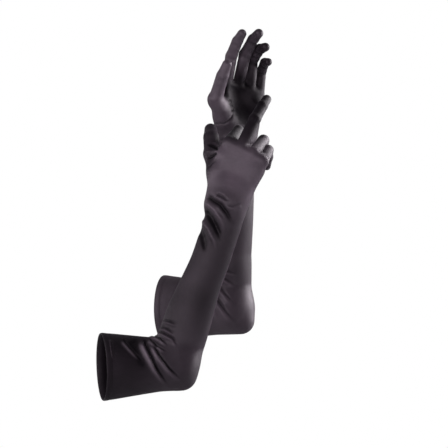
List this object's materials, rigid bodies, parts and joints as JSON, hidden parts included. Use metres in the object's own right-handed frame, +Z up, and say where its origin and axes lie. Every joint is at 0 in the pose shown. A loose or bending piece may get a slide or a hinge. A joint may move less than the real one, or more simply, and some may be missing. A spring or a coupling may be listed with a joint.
{
  "type": "opera gloves",
  "caption": "Pair of black satin opera gloves, above-the-elbow length, filled out in a bent-arm pose with the hands raised.",
  "frame": {"origin": "centre of the right glove's cuff opening, in the plane of the hem's edge", "axes": "+Z up, the way the hands are raised; +X from the right cuff towards the elbow; the back of the right hand faces -Y and the left glove stands behind it at +Y"},
  "size_m": [0.2663, 0.3697, 0.5468],
  "materials": {
    "satin": "satin",
    "seam": "satin",
    "thread": "matte"
  },
  "bodies": {
    "right_upper": {"right_hem_band": "satin", "right_hem_stitching": "thread", "right_upper_sleeve": "satin"},
    "right_forearm": {"right_forearm_sleeve": "satin", "right_side_seam": "seam"},
    "right_hand": {"right_hand_back": "satin", "right_palm": "satin"},
    "right_index_base": {"right_index_base": "satin"},
    "right_index_middle": {"right_index_middle": "satin"},
    "right_index_tip": {"right_index_tip": "satin"},
    "right_middle_base": {"right_middle_base": "satin"},
    "right_middle_middle": {"right_middle_middle": "satin"},
    "right_middle_tip": {"right_middle_tip": "satin"},
    "right_ring_base": {"right_ring_base": "satin"},
    "right_ring_middle": {"right_ring_middle": "satin"},
    "right_ring_tip": {"right_ring_tip": "satin"},
    "right_little_base": {"right_little_base": "satin"},
    "right_little_middle": {"right_little_middle": "satin"},
    "right_little_tip": {"right_little_tip": "satin"},
    "right_thumb_base": {"right_thumb_base": "satin"},
    "right_thumb_middle": {"right_thumb_middle": "satin"},
    "right_thumb_tip": {"right_thumb_tip": "satin"},
    "left_upper": {"left_hem_band": "satin", "left_hem_stitching": "thread", "left_upper_sleeve": "satin"},
    "left_forearm": {"left_forearm_sleeve": "satin", "left_side_seam": "seam"},
    "left_hand": {"left_hand_back": "satin", "left_palm": "satin"},
    "left_index_base": {"left_index_base": "satin"},
    "left_index_middle": {"left_index_middle": "satin"},
    "left_index_tip": {"left_index_tip": "satin"},
    "left_middle_base": {"left_middle_base": "satin"},
    "left_middle_middle": {"left_middle_middle": "satin"},
    "left_middle_tip": {"left_middle_tip": "satin"},
    "left_ring_base": {"left_ring_base": "satin"},
    "left_ring_middle": {"left_ring_middle": "satin"},
    "left_ring_tip": {"left_ring_tip": "satin"},
    "left_little_base": {"left_little_base": "satin"},
    "left_little_middle": {"left_little_middle": "satin"},
    "left_little_tip": {"left_little_tip": "satin"},
    "left_thumb_base": {"left_thumb_base": "satin"},
    "left_thumb_middle": {"left_thumb_middle": "satin"},
    "left_thumb_tip": {"left_thumb_tip": "satin"}
  },
  "joints": [
    {"name": "right_elbow", "type": "hinge", "parent": "right_upper", "child": "right_forearm", "pos_m": [0.10628, 0.01877, 0.00399], "axis": [0.1757, -0.9828, -0.0567], "range_deg": [-60.29, 41.71]},
    {"name": "right_wrist", "type": "hinge", "parent": "right_forearm", "child": "right_hand", "pos_m": [0.18147, 0.01877, 0.23717], "axis": [-0.9229, 0.1884, 0.3358], "range_deg": [-41, 31]},
    {"name": "right_index_knuckle", "type": "hinge", "parent": "right_hand", "child": "right_index_base", "pos_m": [0.187, 0.02358, 0.32561], "axis": [-0.9229, 0.1884, 0.3358], "range_deg": [-75, 15]},
    {"name": "right_index_bend", "type": "hinge", "parent": "right_index_base", "child": "right_index_middle", "pos_m": [0.20062, 0.0593, 0.343], "axis": [-0.9229, 0.1884, 0.3358], "range_deg": [-60, 25]},
    {"name": "right_index_end", "type": "hinge", "parent": "right_index_middle", "child": "right_index_tip", "pos_m": [0.20016, 0.08141, 0.32933], "axis": [-0.9229, 0.1884, 0.3358], "range_deg": [-40.21, 16.76]},
    {"name": "right_middle_knuckle", "type": "hinge", "parent": "right_hand", "child": "right_middle_base", "pos_m": [0.20614, 0.01981, 0.32077], "axis": [-0.9168, 0.1883, 0.3521], "range_deg": [-37, 53]},
    {"name": "right_middle_bend", "type": "hinge", "parent": "right_middle_base", "child": "right_middle_middle", "pos_m": [0.22446, 0.03659, 0.35949], "axis": [-0.9168, 0.1883, 0.3521], "range_deg": [-16, 69]},
    {"name": "right_middle_end", "type": "hinge", "parent": "right_middle_middle", "child": "right_middle_tip", "pos_m": [0.23541, 0.05345, 0.37898], "axis": [-0.9168, 0.1883, 0.3521], "range_deg": [-10.73, 46.24]},
    {"name": "right_ring_knuckle", "type": "hinge", "parent": "right_hand", "child": "right_ring_base", "pos_m": [0.22312, 0.01614, 0.3114], "axis": [-0.9229, 0.1884, 0.3358], "range_deg": [-75, 15]},
    {"name": "right_ring_bend", "type": "hinge", "parent": "right_ring_base", "child": "right_ring_middle", "pos_m": [0.23706, 0.05271, 0.32921], "axis": [-0.9229, 0.1884, 0.3358], "range_deg": [-60, 25]},
    {"name": "right_ring_end", "type": "hinge", "parent": "right_ring_middle", "child": "right_ring_tip", "pos_m": [0.2366, 0.07482, 0.31554], "axis": [-0.9229, 0.1884, 0.3358], "range_deg": [-40.21, 16.76]},
    {"name": "right_little_knuckle", "type": "hinge", "parent": "right_hand", "child": "right_little_base", "pos_m": [0.23687, 0.01284, 0.29895], "axis": [-0.9229, 0.1884, 0.3358], "range_deg": [-71, 19]},
    {"name": "right_little_bend", "type": "hinge", "parent": "right_little_base", "child": "right_little_middle", "pos_m": [0.24836, 0.04052, 0.315], "axis": [-0.9229, 0.1884, 0.3358], "range_deg": [-60, 25]},
    {"name": "right_little_end", "type": "hinge", "parent": "right_little_middle", "child": "right_little_tip", "pos_m": [0.24855, 0.05818, 0.30561], "axis": [-0.9229, 0.1884, 0.3358], "range_deg": [-40.21, 16.76]},
    {"name": "right_thumb_swing", "type": "hinge", "parent": "right_hand", "child": "right_thumb_base", "pos_m": [0.17061, 0.02975, 0.28156], "axis": [0.0451, -0.8133, 0.5801], "range_deg": [-3, 22]},
    {"name": "right_thumb_bend", "type": "hinge", "parent": "right_thumb_base", "child": "right_thumb_middle", "pos_m": [0.16136, 0.04841, 0.30843], "axis": [-0.1104, 0.7061, -0.6994], "range_deg": [-14, 24]},
    {"name": "right_thumb_end", "type": "hinge", "parent": "right_thumb_middle", "child": "right_thumb_tip", "pos_m": [0.15456, 0.07131, 0.33263], "axis": [-0.152, 0.6231, -0.7672], "range_deg": [-14.01, 24.01]},
    {"name": "left_elbow", "type": "hinge", "parent": "left_upper", "child": "left_forearm", "pos_m": [0.18809, 0.23995, 0.082], "axis": [-0.2921, -0.9563, 0.0088], "range_deg": [-78.36, 23.64]},
    {"name": "left_wrist", "type": "hinge", "parent": "left_forearm", "child": "left_hand", "pos_m": [0.19544, 0.23995, 0.32689], "axis": [0.8612, 0.4972, -0.1058], "range_deg": [-41, 31]},
    {"name": "left_index_knuckle", "type": "hinge", "parent": "left_hand", "child": "left_index_base", "pos_m": [0.18384, 0.22727, 0.41395], "axis": [0.8612, 0.4972, -0.1058], "range_deg": [-19, 71]},
    {"name": "left_index_bend", "type": "hinge", "parent": "left_index_base", "child": "left_index_middle", "pos_m": [0.1904, 0.22473, 0.45536], "axis": [0.8612, 0.4972, -0.1058], "range_deg": [-24, 61]},
    {"name": "left_index_end", "type": "hinge", "parent": "left_index_middle", "child": "left_index_tip", "pos_m": [0.19922, 0.21414, 0.47741], "axis": [0.8612, 0.4972, -0.1058], "range_deg": [-16.09, 40.88]},
    {"name": "left_middle_knuckle", "type": "hinge", "parent": "left_hand", "child": "left_middle_base", "pos_m": [0.20131, 0.23722, 0.41382], "axis": [0.8612, 0.4972, -0.1058], "range_deg": [-21, 69]},
    {"name": "left_middle_bend", "type": "hinge", "parent": "left_middle_base", "child": "left_middle_middle", "pos_m": [0.20926, 0.23304, 0.45894], "axis": [0.8612, 0.4972, -0.1058], "range_deg": [-30, 55]},
    {"name": "left_middle_end", "type": "hinge", "parent": "left_middle_middle", "child": "left_middle_tip", "pos_m": [0.22014, 0.21877, 0.48042], "axis": [0.8612, 0.4972, -0.1058], "range_deg": [-20.11, 36.86]},
    {"name": "left_ring_knuckle", "type": "hinge", "parent": "left_hand", "child": "left_ring_base", "pos_m": [0.21774, 0.24691, 0.40878], "axis": [0.8612, 0.4972, -0.1058], "range_deg": [-15, 75]},
    {"name": "left_ring_bend", "type": "hinge", "parent": "left_ring_base", "child": "left_ring_middle", "pos_m": [0.22298, 0.24691, 0.45146], "axis": [0.8612, 0.4972, -0.1058], "range_deg": [-42, 43]},
    {"name": "left_ring_end", "type": "hinge", "parent": "left_ring_middle", "child": "left_ring_tip", "pos_m": [0.23392, 0.23182, 0.46958], "axis": [0.8612, 0.4972, -0.1058], "range_deg": [-28.15, 28.82]},
    {"name": "left_little_knuckle", "type": "hinge", "parent": "left_hand", "child": "left_little_base", "pos_m": [0.23195, 0.25561, 0.39998], "axis": [0.8942, 0.4019, -0.1972], "range_deg": [-8, 82]},
    {"name": "left_little_bend", "type": "hinge", "parent": "left_little_base", "child": "left_little_middle", "pos_m": [0.23692, 0.26087, 0.43321], "axis": [0.8942, 0.4019, -0.1972], "range_deg": [-50, 35]},
    {"name": "left_little_end", "type": "hinge", "parent": "left_little_middle", "child": "left_little_tip", "pos_m": [0.24528, 0.24902, 0.44698], "axis": [0.8942, 0.4019, -0.1972], "range_deg": [-33.51, 23.46]},
    {"name": "left_thumb_swing", "type": "hinge", "parent": "left_hand", "child": "left_thumb_base", "pos_m": [0.17978, 0.22132, 0.3671], "axis": [0.4089, -0.8012, -0.4368], "range_deg": [-3, 22]},
    {"name": "left_thumb_bend", "type": "hinge", "parent": "left_thumb_base", "child": "left_thumb_middle", "pos_m": [0.16872, 0.20176, 0.39262], "axis": [-0.443, 0.8361, 0.3236], "range_deg": [-14, 24]},
    {"name": "left_thumb_end", "type": "hinge", "parent": "left_thumb_middle", "child": "left_thumb_tip", "pos_m": [0.17859, 0.1947, 0.42438], "axis": [-0.4393, 0.8327, 0.3372], "range_deg": [-14.01, 24.01]},
    {"name": "left_glove_apart", "type": "slide", "parent": "right_upper", "child": "left_upper", "axis": [0, 1, 0], "range_m": [0, 0.12]}
  ],
  "couplings": [
    {"joint": "right_index_end", "follows": "right_index_bend", "ratio": 0.67},
    {"joint": "right_middle_end", "follows": "right_middle_bend", "ratio": 0.67},
    {"joint": "right_ring_end", "follows": "right_ring_bend", "ratio": 0.67},
    {"joint": "right_little_end", "follows": "right_little_bend", "ratio": 0.67},
    {"joint": "right_thumb_end", "follows": "right_thumb_bend", "ratio": 1},
    {"joint": "left_index_end", "follows": "left_index_bend", "ratio": 0.67},
    {"joint": "left_middle_end", "follows": "left_middle_bend", "ratio": 0.67},
    {"joint": "left_ring_end", "follows": "left_ring_bend", "ratio": 0.67},
    {"joint": "left_little_end", "follows": "left_little_bend", "ratio": 0.67},
    {"joint": "left_thumb_end", "follows": "left_thumb_bend", "ratio": 1}
  ]
}
